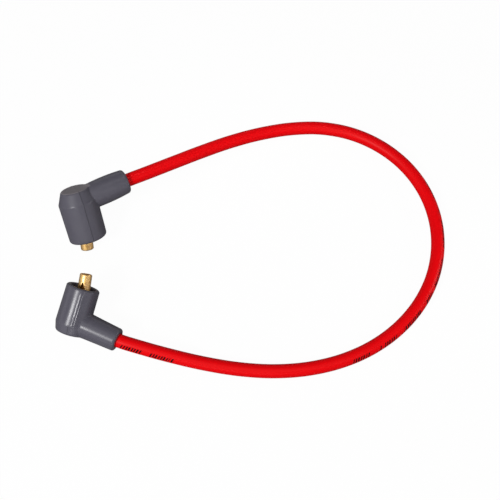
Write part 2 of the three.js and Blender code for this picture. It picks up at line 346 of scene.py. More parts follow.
@dataclass(frozen=True)
class MouldedSilicone:
    """Silicone rubber, compression moulded in a blasted steel tool.

    The tool leaves a fine even grain that spreads the highlights, and rubbing and release
    agent leave the grey a little cloudy. Where the steel is polished, round the shoulder
    and along the neck, the rubber keeps a soft sheen. Lengths are in millimetres.
    """

    name: str
    surface: Surface
    colour: str = "#53515c"
    cloud: str = "#5b5963"
    # painted light and reflection: the lighter, warmer colour of the closed end
    top_light_colour: str = "#8d868a"
    # painted shade of the fine groove beside the parting bead
    groove_shade: str = "#2b2a2e"
    grain_mm: float = 0.55  # the real grain is near 0.1 mm, drawn coarse enough to show
    grain_depth: float = 0.03
    cloud_mm: float = 7.0
    cloud_range: tuple[float, float] = (0.3, 0.7)  # of the pattern, between both roughnesses
    top_light_depths: tuple[float, float] = (0.5, 0.1)  # below the closed end: no painted light, all of it
    top_light_reach: tuple[float, float] = (8.5, 10.0)  # towards the neck: all the painted light, none
    groove_shade_sides: tuple[float, float] = (0.12, 0.35)  # beside the groove: darkest painted shade, none
    groove_shade_share: float = 0.45
    wall_share: float = 0.86  # of the closed end's radius, beyond which the wall begins
    polish: float = 0.33  # roughness of the polished bands
    shoulder_band: tuple[float, float] = (0.55, 1.3)  # off the shoulder: polished, blasted
    neck_band: tuple[float, float] = (11.5, 13.5)  # along the neck: blasted, polished
    neck_share: float = 0.75

    def build(self, boot: Boot) -> bpy.types.Material:
        """Make the material for one boot.

        Args:
            boot: the boot, whose own frame places the painted light, the painted groove shade and
                the polish.

        Returns:
            The material.
        """
        skin = SKINS[self.surface]
        material = bpy.data.materials.new(self.name)
        material.use_nodes = True
        tree = material.node_tree
        shader = tree.nodes["Principled BSDF"]
        shader.inputs["IOR"].default_value = SILICONE_IOR
        shader.inputs["Specular IOR Level"].default_value = skin.specular
        place = add_node(tree, "ShaderNodeTexCoord").outputs["Object"]
        own = add_node(tree, "ShaderNodeMapping", {
            "Location": [v * MM for v in boot.seat], "Rotation": boot.turn_angles(),
        }, {"Vector": place}, vector_type="TEXTURE").outputs["Vector"]
        part = add_node(tree, "ShaderNodeSeparateXYZ", links={"Vector": own}).outputs
        clouds = add_node(tree, "ShaderNodeTexNoise", {
            "Scale": 1 / (self.cloud_mm * MM), "Detail": 3.0, "Roughness": 0.55,
        }, {"Vector": own}).outputs["Fac"]
        colour = self.skin_colour(tree, boot, part, clouds)
        tree.links.new(colour, shader.inputs["Base Color"])
        rough = self.skin_roughness(tree, boot, part, clouds)
        tree.links.new(rough, shader.inputs["Roughness"])
        grain = add_node(tree, "ShaderNodeTexNoise", {
            "Scale": 1 / (self.grain_mm * MM), "Detail": 2.0, "Roughness": 0.6,
        }, {"Vector": own}).outputs["Fac"]
        bump = add_node(tree, "ShaderNodeBump", {
            "Strength": skin.grain, "Distance": self.grain_depth * MM,
        }, {"Height": grain}).outputs["Normal"]
        tree.links.new(bump, shader.inputs["Normal"])
        return material

    def skin_colour(self, tree: bpy.types.NodeTree, boot: Boot,
                    part: bpy.types.bpy_prop_collection,
                    clouds: bpy.types.NodeSocket) -> bpy.types.NodeSocket:
        """Mix the cloudy grey, the painted light on the closed end and the painted shade of the
        groove beside the parting bead.

        Args:
            tree: the material's tree.
            boot: the boot.
            part: the place in the boot's own frame, as sockets X, Y and Z.
            clouds: the cloud pattern.

        Returns:
            The colour's socket.
        """
        colour = add_node(tree, "ShaderNodeMix", {
            "A": hex_colour(self.colour), "B": hex_colour(self.cloud),
        }, {"Factor": clouds}, data_type="RGBA").outputs["Result"]
        # painted light and reflection: the closed end is painted lighter and warmer, fading out
        # towards the neck
        crown = add_node(tree, "ShaderNodeMapRange", {
            "From Min": (boot.top_rise - self.top_light_depths[0]) * MM,
            "From Max": (boot.top_rise - self.top_light_depths[1]) * MM,
            "To Max": SKINS[self.surface].top_light_share,
        }, {"Value": part["Z"]}, interpolation_type="SMOOTHSTEP").outputs["Result"]
        off_neck = add_node(tree, "ShaderNodeMapRange", {
            "From Min": self.top_light_reach[0] * MM, "From Max": self.top_light_reach[1] * MM,
            "To Min": 1.0, "To Max": 0.0,
        }, {"Value": part["X"]}).outputs["Result"]
        crown = add_node(tree, "ShaderNodeMath", links={0: crown, 1: off_neck},
                         operation="MULTIPLY").outputs[0]
        colour = add_node(tree, "ShaderNodeMix", {"B": hex_colour(self.top_light_colour)}, {
            "Factor": crown, "A": colour,
        }, data_type="RGBA").outputs["Result"]
        # painted shade: the fine groove beside the parting bead, too fine for the skin to hold, is
        # painted dark as its shade
        aside = add_node(tree, "ShaderNodeMath", {
            1: (boot.seam_shift + boot.seam_groove) * MM,
        }, {0: part["X"]}, operation="SUBTRACT").outputs[0]
        aside = add_node(tree, "ShaderNodeMath", links={0: aside},
                         operation="ABSOLUTE").outputs[0]
        groove_shade = add_node(tree, "ShaderNodeMapRange", {
            "From Min": self.groove_shade_sides[0] * MM, "From Max": self.groove_shade_sides[1] * MM,
            "To Min": self.groove_shade_share, "To Max": 0.0,
        }, {"Value": aside}, interpolation_type="SMOOTHSTEP").outputs["Result"]
        across = add_node(tree, "ShaderNodeMath", links={0: part["Y"]},
                          operation="ABSOLUTE").outputs[0]
        wall = boot.top_diameter / 2 * self.wall_share
        for measure, limit in ((across, wall), (part["Z"], boot.bead_start)):
            past = add_node(tree, "ShaderNodeMath", {1: limit * MM}, {0: measure},
                            operation="GREATER_THAN").outputs[0]
            groove_shade = add_node(tree, "ShaderNodeMath", links={0: groove_shade, 1: past},
                              operation="MULTIPLY").outputs[0]
        return add_node(tree, "ShaderNodeMix", {"B": hex_colour(self.groove_shade)}, {
            "Factor": groove_shade, "A": colour,
        }, data_type="RGBA").outputs["Result"]

    def skin_roughness(self, tree: bpy.types.NodeTree, boot: Boot,
                       part: bpy.types.bpy_prop_collection,
                       clouds: bpy.types.NodeSocket) -> bpy.types.NodeSocket:
        """Mix the roughness of the blasted steel with that of its polished bands.

        Args:
            tree: the material's tree.
            boot: the boot.
            part: the place in the boot's own frame, as sockets X, Y and Z.
            clouds: the cloud pattern.

        Returns:
            The roughness's socket.
        """
        low, high = SKINS[self.surface].roughness
        rough = add_node(tree, "ShaderNodeMapRange", {
            "From Min": self.cloud_range[0], "From Max": self.cloud_range[1],
            "To Min": low, "To Max": high,
        }, {"Value": clouds}).outputs["Result"]
        off_shoulder = add_node(tree, "ShaderNodeMath", {1: boot.shoulder_rise * MM}, {
            0: part["Z"]}, operation="SUBTRACT").outputs[0]
        off_shoulder = add_node(tree, "ShaderNodeMath", links={0: off_shoulder},
                                operation="ABSOLUTE").outputs[0]
        shoulder = add_node(tree, "ShaderNodeMapRange", {
            "From Min": self.shoulder_band[0] * MM, "From Max": self.shoulder_band[1] * MM,
            "To Min": 1.0, "To Max": 0.0,
        }, {"Value": off_shoulder}, interpolation_type="SMOOTHSTEP").outputs["Result"]
        on_neck = add_node(tree, "ShaderNodeMapRange", {
            "From Min": self.neck_band[0] * MM, "From Max": self.neck_band[1] * MM,
            "To Max": self.neck_share,
        }, {"Value": part["X"]}, interpolation_type="SMOOTHSTEP").outputs["Result"]
        polished = add_node(tree, "ShaderNodeMath", links={0: shoulder, 1: on_neck},
                            operation="MAXIMUM").outputs[0]
        return add_node(tree, "ShaderNodeMix", {"B": self.polish}, {
            "Factor": polished, "A": rough,
        }).outputs["Result"]


@dataclass(frozen=True)
class ExtrudedSilicone:
    """Silicone rubber, extruded over the core, cured in hot air and printed with matt ink.

    The die leaves faint lengthwise lines, and the cured skin has a broad soft highlight.
    Lengths are in millimetres.
    """

    name: str = "extruded_red_silicone"
    colour: str = "#f2030c"
    deep: str = "#e8020a"
    ink: str = "#200507"
    specular: float = 0.13
    skin_roughness: float = 0.4
    ink_roughness: float = 0.7
    mottle_mm: float = 30.0
    line_mm: float = 0.8  # spacing of the die lines round the cable
    line_length: float = 250.0
    line_depth: float = 0.03
    line_strength: float = 0.12

    def build(self, cable: Cable) -> bpy.types.Material:
        """Make the material for the cable.

        Args:
            cable: the cable, whose marks are placed along its length.

        Returns:
            The material.
        """
        material = bpy.data.materials.new(self.name)
        material.use_nodes = True
        tree = material.node_tree
        shader = tree.nodes["Principled BSDF"]
        shader.inputs["IOR"].default_value = SILICONE_IOR
        shader.inputs["Specular IOR Level"].default_value = self.specular
        place = add_node(tree, "ShaderNodeTexCoord").outputs["Object"]
        mottle = add_node(tree, "ShaderNodeTexNoise", {
            "Scale": 1 / (self.mottle_mm * MM), "Detail": 2.0,
        }, {"Vector": place}).outputs["Fac"]
        skin = add_node(tree, "ShaderNodeMix", {
            "A": hex_colour(self.colour), "B": hex_colour(self.deep),
        }, {"Factor": mottle}, data_type="RGBA").outputs["Result"]
        # the UV map runs in millimetres: along the cable, and round it from underneath
        spread = add_node(tree, "ShaderNodeUVMap", uv_map=cable.UV_NAME).outputs["UV"]
        part = add_node(tree, "ShaderNodeSeparateXYZ", links={"Vector": spread}).outputs
        marks = cable.mark_mask(tree, part["X"], part["Y"])
        colour = add_node(tree, "ShaderNodeMix", {"B": hex_colour(self.ink)}, {
            "Factor": marks, "A": skin,
        }, data_type="RGBA").outputs["Result"]
        tree.links.new(colour, shader.inputs["Base Color"])
        rough = add_node(tree, "ShaderNodeMapRange", {
            "To Min": self.skin_roughness, "To Max": self.ink_roughness,
        }, {"Value": marks}).outputs["Result"]
        tree.links.new(rough, shader.inputs["Roughness"])
        drawn = add_node(tree, "ShaderNodeMapping", {
            "Scale": (1 / self.line_length, 1 / self.line_mm, 1),
        }, {"Vector": spread}).outputs["Vector"]
        lines = add_node(tree, "ShaderNodeTexNoise", {"Scale": 1.0, "Detail": 1.0}, {
            "Vector": drawn,
        }).outputs["Fac"]
        bump = add_node(tree, "ShaderNodeBump", {
            "Strength": self.line_strength, "Distance": self.line_depth * MM,
        }, {"Height": lines}).outputs["Normal"]
        tree.links.new(bump, shader.inputs["Normal"])
        return material


@dataclass(frozen=True)
class StampedBrass:
    """Half-hard sheet brass, blanked, rolled and left bright under a film of stamping oil.

    Rolling the strip leaves streaks along it, handling leaves a faint warm tarnish, and the
    oil turns the middle of each highlight pale. Lengths are in millimetres.
    """

    name: str = "stamped_bright_brass"
    colour: str = "#ebbd69"
    tarnish: str = "#c98a3c"
    tarnish_share: float = 0.6
    stain_mm: float = 3.5
    stain_range: tuple[float, float] = (0.45, 0.75)  # of the pattern: clean, fully tarnished
    roughness: tuple[float, float] = (0.42, 0.52)  # along the streaks and between them
    streak_mm: float = 0.3
    streak_length_mm: float = 7.0
    streak_depth: float = 0.01
    streak_strength: float = 0.06
    oil_ior: float = 1.9  # above the real oil's, which would not show at this size
    oil_roughness: float = 0.32

    def build(self) -> bpy.types.Material:
        """Make the material for both terminals.

        Returns:
            The material.
        """
        material = bpy.data.materials.new(self.name)
        material.use_nodes = True
        tree = material.node_tree
        shader = tree.nodes["Principled BSDF"]
        shader.inputs["Metallic"].default_value = 1.0
        shader.inputs["Coat Weight"].default_value = 1.0
        shader.inputs["Coat IOR"].default_value = self.oil_ior
        shader.inputs["Coat Roughness"].default_value = self.oil_roughness
        place = add_node(tree, "ShaderNodeTexCoord").outputs["Object"]
        stain = add_node(tree, "ShaderNodeTexNoise", {
            "Scale": 1 / (self.stain_mm * MM), "Detail": 4.0, "Roughness": 0.6,
        }, {"Vector": place}).outputs["Fac"]
        share = add_node(tree, "ShaderNodeMapRange", {
            "From Min": self.stain_range[0], "From Max": self.stain_range[1],
            "To Max": self.tarnish_share,
        }, {"Value": stain}).outputs["Result"]
        colour = add_node(tree, "ShaderNodeMix", {
            "A": hex_colour(self.colour), "B": hex_colour(self.tarnish),
        }, {"Factor": share}, data_type="RGBA").outputs["Result"]
        tree.links.new(colour, shader.inputs["Base Color"])
        # the UV map runs in millimetres along and across the strip
        strip = add_node(tree, "ShaderNodeUVMap", uv_map=Terminal.UV_NAME).outputs["UV"]
        drawn = add_node(tree, "ShaderNodeMapping", {
            "Scale": (1 / self.streak_length_mm, 1 / self.streak_mm, 1),
        }, {"Vector": strip}).outputs["Vector"]
        streaks = add_node(tree, "ShaderNodeTexNoise", {"Scale": 1.0, "Detail": 2.0}, {
            "Vector": drawn,
        }).outputs["Fac"]
        rough = add_node(tree, "ShaderNodeMapRange", {
            "To Min": self.roughness[0], "To Max": self.roughness[1],
        }, {"Value": streaks}).outputs["Result"]
        tree.links.new(rough, shader.inputs["Roughness"])
        bump = add_node(tree, "ShaderNodeBump", {
            "Strength": self.streak_strength, "Distance": self.streak_depth * MM,
        }, {"Height": streaks}).outputs["Normal"]
        tree.links.new(bump, shader.inputs["Normal"])
        return material


@dataclass(frozen=True)
class LoadedCore:
    """A carbon-loaded suppression core: matt and near black, with a faint grey speckle."""

    name: str = "carbon_loaded_core"
    colour: str = "#1d1d1f"
    speck: str = "#2b2b2e"
    speck_mm: float = 0.4
    roughness: float = 0.8

    def build(self) -> bpy.types.Material:
        """Make the material for the core.

        Returns:
            The material.
        """
        material = bpy.data.materials.new(self.name)
        material.use_nodes = True
        tree = material.node_tree
        shader = tree.nodes["Principled BSDF"]
        shader.inputs["Roughness"].default_value = self.roughness
        place = add_node(tree, "ShaderNodeTexCoord").outputs["Object"]
        specks = add_node(tree, "ShaderNodeTexNoise", {"Scale": 1 / (self.speck_mm * MM)}, {
            "Vector": place,
        }).outputs["Fac"]
        colour = add_node(tree, "ShaderNodeMix", {
            "A": hex_colour(self.colour), "B": hex_colour(self.speck),
        }, {"Factor": specks}, data_type="RGBA").outputs["Result"]
        tree.links.new(colour, shader.inputs["Base Color"])
        return material


# Boots


@dataclass
class Boot:
    """An elbow boot, moulded in one piece, in millimetres of its own frame."""

    name: str
    node: str
    seat: tuple[float, float, float]
    turn: tuple[float, float, float, float]  # quaternion, w first
    mouth_diameter: float
    shoulder_diameter: float
    top_diameter: float
    mouth_depth: float
    shoulder_rise: float
    top_rise: float
    tower_bore: float
    tower_stop: float
    pocket_diameter: float
    lip_radius: float
    shoulder_radius: float
    top_radius: float
    neck_length: float
    neck_base: float
    neck_middle: float
    neck_end: float
    neck_radius: float
    seam_shift: float
    seam_bead: float
    bead_start: float  # height at which the bead begins
    crown: float = 0.0  # how far the two halves of the mould bulge towards their seam
    crown_width: float = 3.0  # how far beside the seam the bulge has mostly gone
    ridges: tuple[tuple[float, float, float], ...] = ()  # place, half width and height
    ridge_start: float = 1.8  # height above the mouth at which the ridges begin
    ridge_end: float = 0.4  # height above the shoulder at which they end
    ridge_fade: float = 1.5  # over which they grow and fade
    ridge_side: float = 4.0  # nearer to the middle plane than this there are none
    roof: float = 3.0
    pocket_radius: float = 1.0
    stop_radii: tuple[float, float] = (0.4, 0.3)  # of the tower's stop: outer and inner edge
    crimp_bore: float = 10.6
    crimp_end: float = 21.3
    cable_bore: float = 9.1
    run_out: float = 4.0  # how far the hollow forms run on past the rubber
    fillet: float = 0.45  # where the neck grows out of the body
    hollow_fillet: float = 0.3  # where the cable's bore leaves the pocket
    edge: float = 0.5
    seam_sink: float = 0.25  # how deep the bead lies in the wall, as a share of its width
    seam_groove: float = 0.45  # from the bead's middle to the painted shade of the fine groove beside it
    seam_clear: float = 0.05  # the bead runs straight across the axis from this near it
    bead_spacing: float = 0.6
    step: float = 0.38  # spacing of the samples that the skin is made from

    NECK_STATIONS = 24
    END_STATIONS = 4  # of them, the last ones make way for the rounded end
    MARGIN = 1.3  # of the sampled box beside the body and below the mouth
    NECK_MARGIN = 2.5  # of the box past the neck's end
    TOP_MARGIN = 2.0  # of the box above the boot
    LEAN_RISE = 4.0  # how far the lean lifts the neck's end

    def matrix(self) -> np.ndarray:
        """Give the boot's rotation as a matrix.

        Returns:
            The matrix, for columns of X, Y and Z.
        """
        w, x, y, z = self.turn
        return np.array([
            [1 - 2 * (y * y + z * z), 2 * (x * y - z * w), 2 * (x * z + y * w)],
            [2 * (x * y + z * w), 1 - 2 * (x * x + z * z), 2 * (y * z - x * w)],
            [2 * (x * z - y * w), 2 * (y * z + x * w), 1 - 2 * (x * x + y * y)],
        ])

    def turn_angles(self) -> list[float]:
        """Give the boot's rotation as XYZ Euler angles."""
        return list(Quaternion(self.turn).to_euler("XYZ"))

    def place(self, points: np.ndarray) -> np.ndarray:
        """Move points from the boot's own frame to the row's frame, in millimetres."""
        return np.asarray(points) @ self.matrix().T + np.array(self.seat)

    def neck_point(self, distance: float) -> np.ndarray:
        """Give the row's point at a distance along the neck from the boot's axis."""
        return self.place((distance * NECK_AXIS)[None])[0]

    def body_outline(self) -> np.ndarray:
        """Draw the body from the mouth over the shoulder to the closed end.

        Returns:
            The outline's points.
        """
        return rounded_outline([
            (0, -self.mouth_depth),
            (self.mouth_diameter / 2, -self.mouth_depth, self.lip_radius),
            (self.shoulder_diameter / 2, self.shoulder_rise, self.shoulder_radius),
            (self.top_diameter / 2, self.top_rise, self.top_radius),
            (0, self.top_rise),
        ])

    def neck_outline(self) -> np.ndarray:
        """Draw the swelling neck from the boot's axis to its rounded end.

        Returns:
            The outline's points, with heights along the neck.
        """
        share = np.linspace(0, 1, self.NECK_STATIONS)[:, None]
        start = np.array([self.neck_base / 2, 0])
        bulge = self.neck_middle - (self.neck_base + self.neck_end) / 4
        knee = np.array([bulge, self.neck_length / 2])
        end = np.array([self.neck_end / 2, self.neck_length])
        side = (1 - share) ** 2 * start + 2 * share * (1 - share) * knee + share ** 2 * end
        shaft = [tuple(p) for p in side[:-self.END_STATIONS]]
        return rounded_outline([(0, 0), *shaft, (*end, self.neck_radius), (0, self.neck_length)])

    def socket_outline(self) -> np.ndarray:
        """Draw the tower's bore and the pocket for the terminal's bend.

        Returns:
            The outline's points.
        """
        bore, pocket = self.tower_bore / 2, self.pocket_diameter / 2
        past = self.mouth_depth + self.run_out
        ceiling = self.top_rise - self.roof
        outer, inner = self.stop_radii
        return rounded_outline([
            (0, -past), (bore, -past), (bore, -self.tower_stop, outer),
            (pocket, -self.tower_stop, inner), (pocket, ceiling, self.pocket_radius),
            (0, ceiling),
        ])

    def bore_outline(self) -> np.ndarray:
        """Draw the cable's bore, wider where the jacket's crimp lies.

        Returns:
            The outline's points, with heights along the neck.
        """
        wide, bore = self.crimp_bore / 2, self.cable_bore / 2
        past = self.neck_length + self.run_out
        return rounded_outline([
            (0, 0), (wide, 0), (wide, self.crimp_end), (bore, self.crimp_end + wide - bore),
            (bore, past), (0, past),
        ])

    def field(self) -> Callable[[np.ndarray], np.ndarray]:
        """Build the boot's distance field from its four round forms.

        Returns:
            A function that gives signed distances in the boot's own frame.
        """
        body, neck = RoundForm(self.body_outline()), RoundForm(self.neck_outline())
        socket, bore = RoundForm(self.socket_outline()), RoundForm(self.bore_outline())

        def distance(points: np.ndarray) -> np.ndarray:
            """Measure how far points lie from the rubber.

            Args:
                points: points of the boot's own frame, one row each.

            Returns:
                Their distances, negative in the rubber.
            """
            x, y, z = points.T
            along = points @ NECK_AXIS
            off = np.linalg.norm(points - along[:, None] * NECK_AXIS, axis=1)
            aside = x - self.seam_shift
            bulge = self.crown * np.exp(-np.abs(aside) / self.crown_width)
            skin = body.distance(np.hypot(x + np.sign(aside) * bulge, y), z)
            above = (z + self.mouth_depth - self.ridge_start) / self.ridge_fade
            below = (self.shoulder_rise + self.ridge_end - z) / self.ridge_fade
            fade = np.clip(above, 0, 1) * np.clip(below, 0, 1) * (np.abs(y) > self.ridge_side)
            for place, half_width, height in self.ridges:
                share = np.clip(np.abs(x - place) / half_width, 0, 1)
                skin = skin - height * (1 - share ** 2) ** 2 * fade
            outside = soft_min(skin, neck.distance(off, along), self.fillet)
            hollow = soft_min(socket.distance(np.hypot(x, y), z), bore.distance(off, along),
                              self.hollow_fillet)
            return -soft_min(-outside, hollow, self.edge)

        return distance

    def build(self) -> bpy.types.Object:
        """Skin the boot and turn it to its pose.

        Returns:
            The boot's object.
        """
        reach = self.shoulder_diameter / 2 + self.MARGIN
        top = max(self.top_rise, self.neck_middle / 2 + self.LEAN_RISE) + self.TOP_MARGIN
        low = (-reach, -reach, -self.mouth_depth - self.MARGIN)
        high = (self.neck_length + self.NECK_MARGIN, reach, top)
        points, faces = surface_net(self.field(), low, high, self.step)
        return mesh_object(self.name, self.place(points), faces)

    def seam_path(self) -> np.ndarray:
        """Trace the parting bead over the closed end, from one side of the wall to the other.

        Returns:
            The path's points in the row's frame.
        """
        outline = self.body_outline()
        ahead = np.gradient(outline, axis=0)
        ahead /= np.maximum(np.linalg.norm(ahead, axis=1), TINY)[:, None]
        out = np.stack([ahead[:, 1], -ahead[:, 0]], 1)
        outline = outline - out * self.seam_bead * self.seam_sink
        first = (np.interp(self.bead_start, outline[1:-1, 1], outline[1:-1, 0]), self.bead_start)
        nearest = self.seam_shift + self.seam_clear
        rows = [first, *(p for p in outline if p[0] > nearest and p[1] > self.bead_start)]
        side = [(self.seam_shift, math.sqrt(r * r - self.seam_shift ** 2), z) for r, z in rows]
        back = [(x, -y, z) for x, y, z in reversed(side)]
        return self.place(np.array(side + back))

    def build_seam(self, material: bpy.types.Material) -> bpy.types.Object:
        """Run the mould's parting bead along its path with Geometry Nodes.

        Args:
            material: the boot's own rubber.

        Returns:
            The bead as a plain mesh object.
        """
        path = self.seam_path()
        mesh = bpy.data.meshes.new(self.name + "_seam_path")
        mesh.from_pydata((path * MM).tolist(), [(i, i + 1) for i in range(len(path) - 1)], [])
        thing = bpy.data.objects.new(self.name + "_seam", mesh)
        bpy.context.scene.collection.objects.link(thing)
        SeamBead(self.seam_bead / 2, self.bead_spacing).apply(thing, material)
        return thing


@dataclass(frozen=True)
class SeamBead:
    """The bead of rubber that a mould's parting line leaves, made by Geometry Nodes."""

    half_width: float
    spacing: float
    sides: int = 10

    def tree(self, material: bpy.types.Material) -> bpy.types.NodeTree:
        """Make the tree that sweeps a round bead along a path.

        Args:
            material: what the bead is made of.

        Returns:
            The node tree, with its sizes as named inputs.
        """
        tree = bpy.data.node_groups.new("parting_bead", "GeometryNodeTree")
        for name, in_out, kind in (
                ("Geometry", "INPUT", "Geometry"), ("Half Width", "INPUT", "Float"),
                ("Spacing", "INPUT", "Float"), ("Sides", "INPUT", "Int"),
                ("Geometry", "OUTPUT", "Geometry")):
            tree.interface.new_socket(name, in_out=in_out, socket_type="NodeSocket" + kind)
        given = add_node(tree, "NodeGroupInput").outputs
        path = add_node(tree, "GeometryNodeMeshToCurve", links={
            "Mesh": given["Geometry"],
        }).outputs["Curve"]
        even = add_node(tree, "GeometryNodeResampleCurve", links={
            "Curve": path, "Length": given["Spacing"],
        }, mode="LENGTH").outputs["Curve"]
        section = add_node(tree, "GeometryNodeCurvePrimitiveCircle", links={
            "Resolution": given["Sides"], "Radius": given["Half Width"],
        }).outputs["Curve"]
        bead = add_node(tree, "GeometryNodeCurveToMesh", {"Fill Caps": True}, {
            "Curve": even, "Profile Curve": section,
        }).outputs["Mesh"]
        smooth = add_node(tree, "GeometryNodeSetShadeSmooth", links={
            "Geometry": bead,
        }).outputs["Geometry"]
        real = add_node(tree, "GeometryNodeRealizeInstances", links={
            "Geometry": smooth,
        }).outputs["Geometry"]
        dressed = add_node(tree, "GeometryNodeSetMaterial", {"Material": material}, {
            "Geometry": real,
        }).outputs["Geometry"]
        add_node(tree, "NodeGroupOutput", links={"Geometry": dressed})
        return tree

    def apply(self, thing: bpy.types.Object, material: bpy.types.Material) -> None:
        """Turn a path object into its bead, as a plain mesh.

        Args:
            thing: the object whose mesh is the path.
            material: what the bead is made of.
        """
        modifier = thing.modifiers.new("bead", "NODES")
        modifier.node_group = self.tree(material)
        sizes = {
            "Half Width": self.half_width * MM, "Spacing": self.spacing * MM,
            "Sides": self.sides,
        }
        for socket in modifier.node_group.interface.items_tree:
            if socket.in_out == "INPUT" and socket.name in sizes:
                modifier[socket.identifier] = sizes[socket.name]
        bpy.context.view_layer.update()
        graph = bpy.context.evaluated_depsgraph_get()
        thing.data = bpy.data.meshes.new_from_object(thing.evaluated_get(graph))
        thing.modifiers.clear()
        give_material(thing, material)


# Terminals


@dataclass
class Terminal:
    """A brass terminal, stamped and rolled from one strip, in the frame of its boot."""

    name: str
    node: str
    boot: Boot
    diameter: float
    stand_out: float  # how far it stands out of the boot's mouth
    tip_radius: float
    crossing: float  # depth at which the tilted barrel crosses the boot's axis
    notch_from_tip: float
    seam_side: int  # the barrel's seam faces +Y where this is 1 and -Y where it is -1
    seam_turn: float  # degrees that the seam lies round from there
    tilt: float = 8.0  # degrees between the barrel and the boot's axis
    wall: float = 0.45
    strap_width: float = 4.6
    strap_start: float = 1.6  # from the barrel's root to the strap's first station
    turn_radius: float = 0.35  # of the strap's inner edge round the elbow
    seam_gap: float = 0.04
    taper: float = 0.05  # how much narrower the barrel is at its tip
    taper_depth: float = 4.0  # how deep inside the mouth the taper begins
    core_roll: float = 1.725  # radius of the crimp on the core, at the middle of the wall
    jacket_roll: float = 4.775  # radius of the crimp on the jacket
    crimp_gap: float = 0.12  # half the gap between a crimp's two edges
    edge: float = 0.08
    columns: int = 96

    UV_NAME = "along_and_across"
    CURL_STEPS = 8  # round the curled tip
    BARREL_STATIONS = (12, 24, 8)  # to the notch, beside the opening, and on to the root
    STRAP_STATIONS = 5
    TURN_SHARES = (0.1, 1, 9)  # first and last station of the elbow, and how many
    EDGE_SEGMENTS = 2
    EDGE_ANGLE = 50.0  # degrees from which an edge is rounded

    def back(self) -> float:
        """Give the distance of the barrel's back, and the strap's plane, from the middle."""
        return self.diameter / 2 - self.wall / 2

    def stations(self) -> list[tuple[float, float, float]]:
        """List the barrel's stations from the curled tip to the strap.

        Returns:
            Rows of height, radius at the middle of the wall, and half width of the strip
            measured round the barrel from the middle of its back.
        """
        outer, half_wall = self.diameter / 2, self.wall / 2
        mouth = -self.boot.mouth_depth
        tip = mouth - self.stand_out
        root = -self.boot.tower_stop
        side_end = root - outer / 2
        notch = tip + self.notch_from_tip
        curl = self.tip_radius - half_wall
        rows = []
        for k in range(self.CURL_STEPS + 1):
            angle = math.pi / 2 * k / self.CURL_STEPS
            rows.append((tip + self.tip_radius - curl * math.cos(angle),
                         outer - self.tip_radius + curl * math.sin(angle)))
        bounds = (tip + self.tip_radius, notch, side_end, root)
        for low, high, count in zip(bounds, bounds[1:], self.BARREL_STATIONS):
            rows += [(z, outer - half_wall) for z in np.linspace(low, high, count)[1:]]
        full, quarter, strap = math.pi, math.pi / 2, self.strap_width / 2
        gap = self.seam_gap / 2
        stations = []
        for z, radius in rows:
            out = (mouth + self.taper_depth - z) / (self.stand_out + self.taper_depth)
            radius *= 1 - self.taper * min(max(out, 0), 1)
            if z <= notch:
                half = full * radius - gap
            elif z <= side_end:
                share = (z - notch) / (side_end - notch)
                half = (full * radius - gap) * (1 - share) + quarter * radius * share
            else:
                share = (z - side_end) / (root - side_end)
                half = quarter * radius * (1 - share) + strap * share
            stations.append((z, radius, half))
        return stations

    def upright_rows(self, across: np.ndarray, top: float) -> list[np.ndarray]:
        """Lay out the rolled barrel, its back at -Y, and the flat strap above it.

        Args:
            across: places across the strip, from -1 to 1.
            top: height at which the strap's middle line meets the neck's.

        Returns:
            Rows of points, one for each station, before the tilt.
        """
        spin = math.radians(-self.seam_turn)
        c, s = math.cos(spin), math.sin(spin)
        rows = []
        for z, radius, half in self.stations():
            angle = across * half / radius
            x, y = radius * np.sin(angle), -radius * np.cos(angle)
            rows.append(np.stack([c * x - s * y, s * x + c * y, np.full_like(x, z)], 1))
        half = self.strap_width / 2
        first = -self.boot.tower_stop + self.strap_start
        for z in np.linspace(first, top - half, self.STRAP_STATIONS):
            flat = across * half
            rows.append(np.stack([
                flat, np.full_like(flat, -self.back()), np.full_like(flat, z)], 1))
        return rows

    def turn_rows(self, across: np.ndarray, start: float,
                  pivot: np.ndarray) -> list[np.ndarray]:
        """Turn the flat strap round the elbow in its own plane.

        Args:
            across: places across the strip, from -1 to 1.
            start: the upright strap's heading, in radians from +X towards +Z.
            pivot: the point that it turns round.

        Returns:
            Rows of points, one for each station.
        """
        half = self.strap_width / 2
        reach = half + self.turn_radius
        rows = []
        for share in np.linspace(*self.TURN_SHARES):
            heading = start + (ELBOW_LEAN - start) * share
            side = np.array([-math.sin(heading), 0, math.cos(heading)])
            rows.append(pivot + side * reach - (across * half)[:, None] * side)
        return rows

    def crimp_rows(self, across: np.ndarray, start: np.ndarray) -> list[np.ndarray]:
        """Run the strip from the elbow through both crimps.

        Args:
            across: places across the strip, from -1 to 1.
            start: where the straight run begins, in the boot's frame.

        Returns:
            Rows of points, one for each station.
        """
        core, jacket = self.core_roll, self.jacket_roll
        core_half = math.pi * core - self.crimp_gap
        jacket_half = math.pi * jacket - self.crimp_gap
        half, back = self.strap_width / 2, self.back()
        begin = float(start @ NECK_AXIS)
        # distance along the neck, radius of the roll, half width, and depth of the floor
        plan = [
            (begin + 0.3, 40.0, half, back), (6.0, 40.0, half, back),
            (7.2, 6.0, half, 0.55 * back), (8.0, core, core_half, core),
            (9.0, core, core_half, core), (11.0, core, core_half, core),
            (12.0, core, core_half, core), (12.8, 3.0, 2.3, 2.6), (13.9, jacket, 2.3, jacket),
            (14.25, jacket, 2.4, jacket), (14.3, jacket, jacket_half, jacket),
            (17.3, jacket, jacket_half, jacket), (20.3, jacket, jacket_half, jacket),
        ]
        rows = []
        for distance, radius, width, floor in plan:
            angle = across * width / radius
            off = -(floor - radius) - radius * np.cos(angle)
            aside = radius * np.sin(angle)
            rows.append(distance * NECK_AXIS + off[:, None] * np.array([0.0, 1.0, 0.0])
                        - aside[:, None] * NECK_UP)
        return rows

